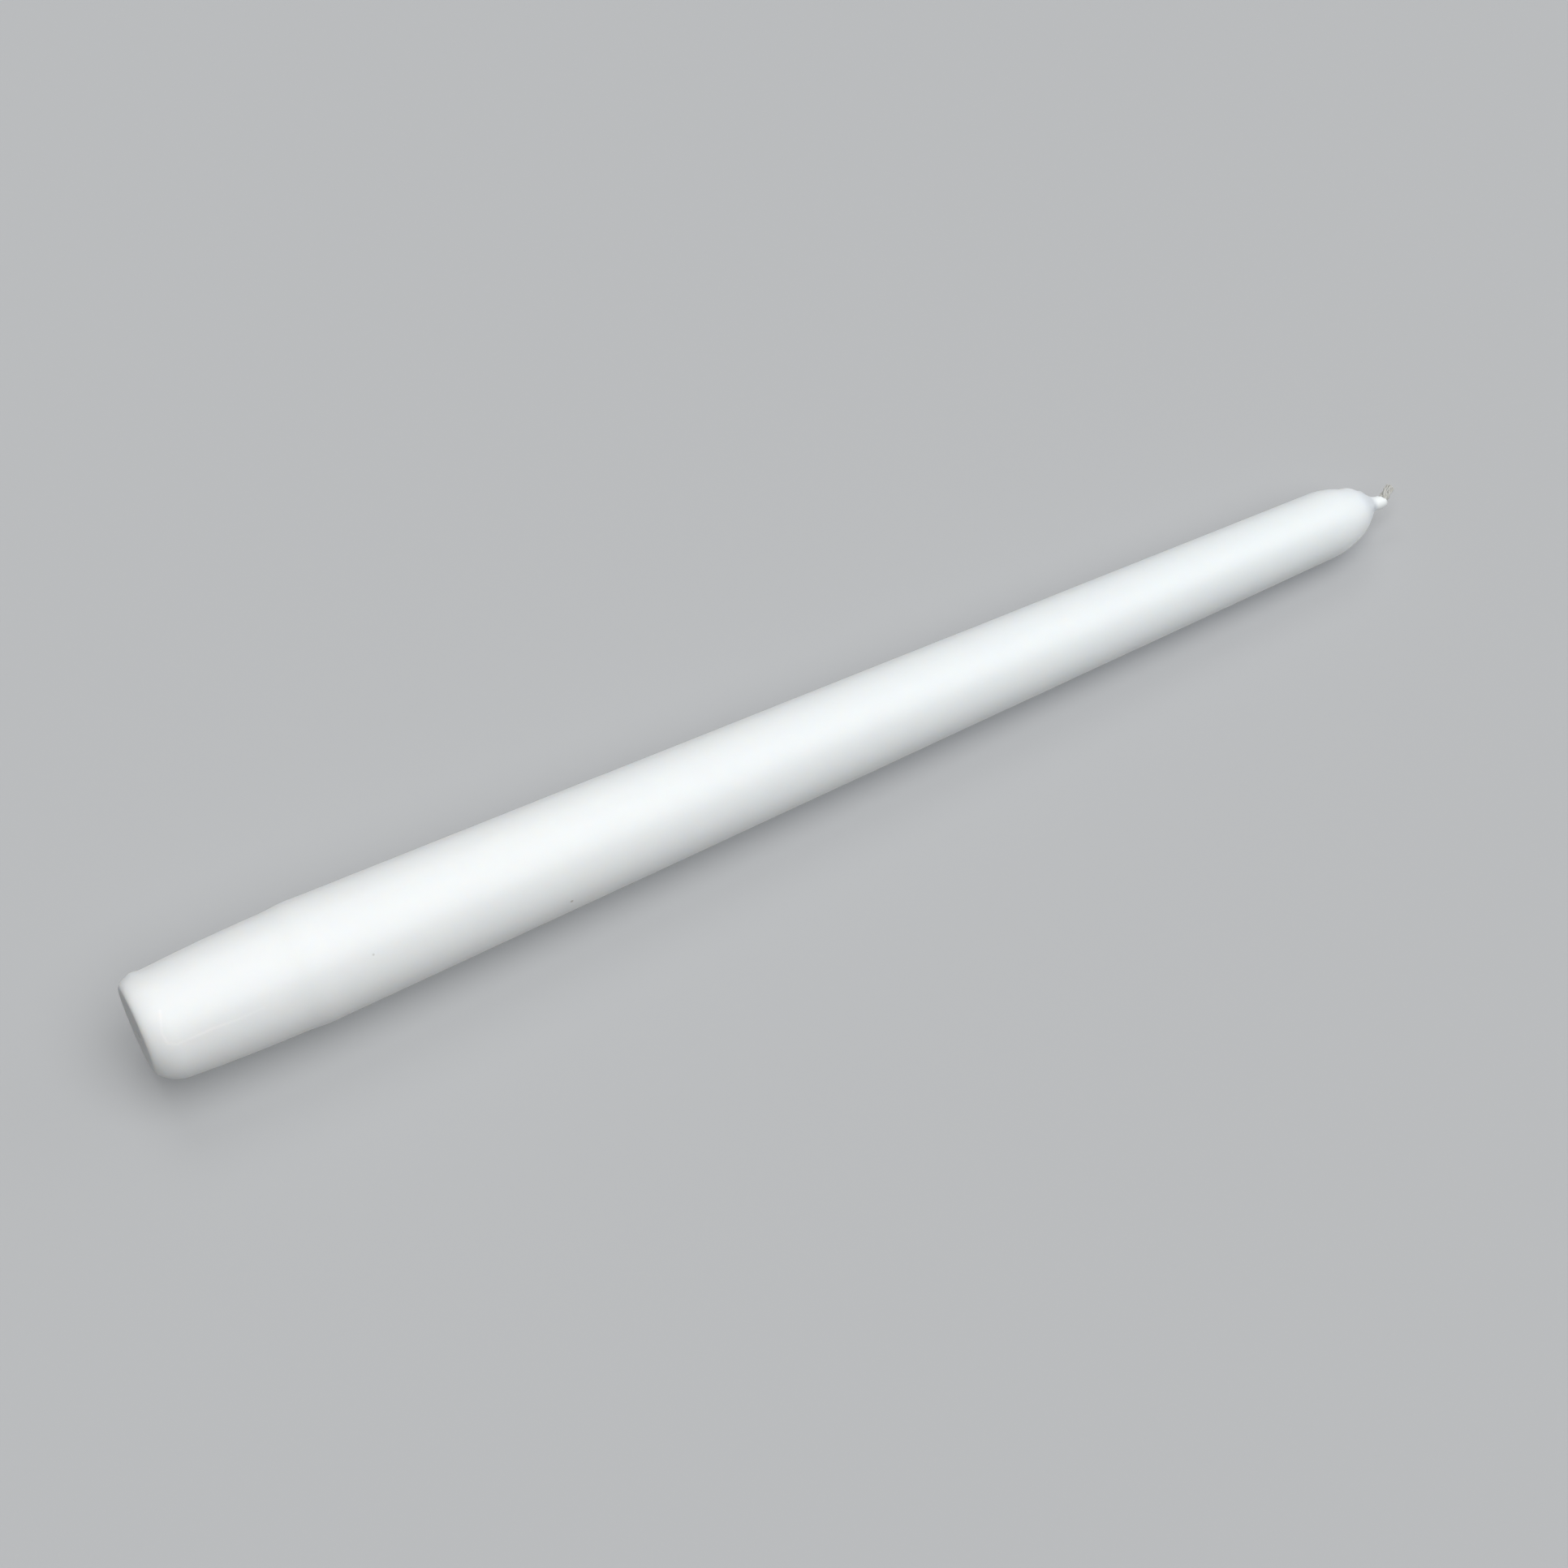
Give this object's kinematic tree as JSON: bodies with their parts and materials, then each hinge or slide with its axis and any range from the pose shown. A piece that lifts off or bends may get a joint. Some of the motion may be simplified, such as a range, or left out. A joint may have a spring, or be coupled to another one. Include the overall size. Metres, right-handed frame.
{
  "type": "taper candle",
  "caption": "Slender tapered wax candle with a conical plug that fits a candle holder and a short bent cotton wick.",
  "frame": {"origin": "centre of the candle's axis on the plane of its flat foot", "axes": "+Z along the candle from its foot to its wick; the wick's free end leans towards -X"},
  "size_m": [0.0222, 0.022, 0.2524],
  "materials": {
    "wax": "satin, faintly translucent white wax",
    "wick_cotton": "waxed, unbleached braided cotton"
  },
  "bodies": {
    "root": {"wax_body": "wax", "wick": "wick_cotton"}
  },
  "joints": []
}
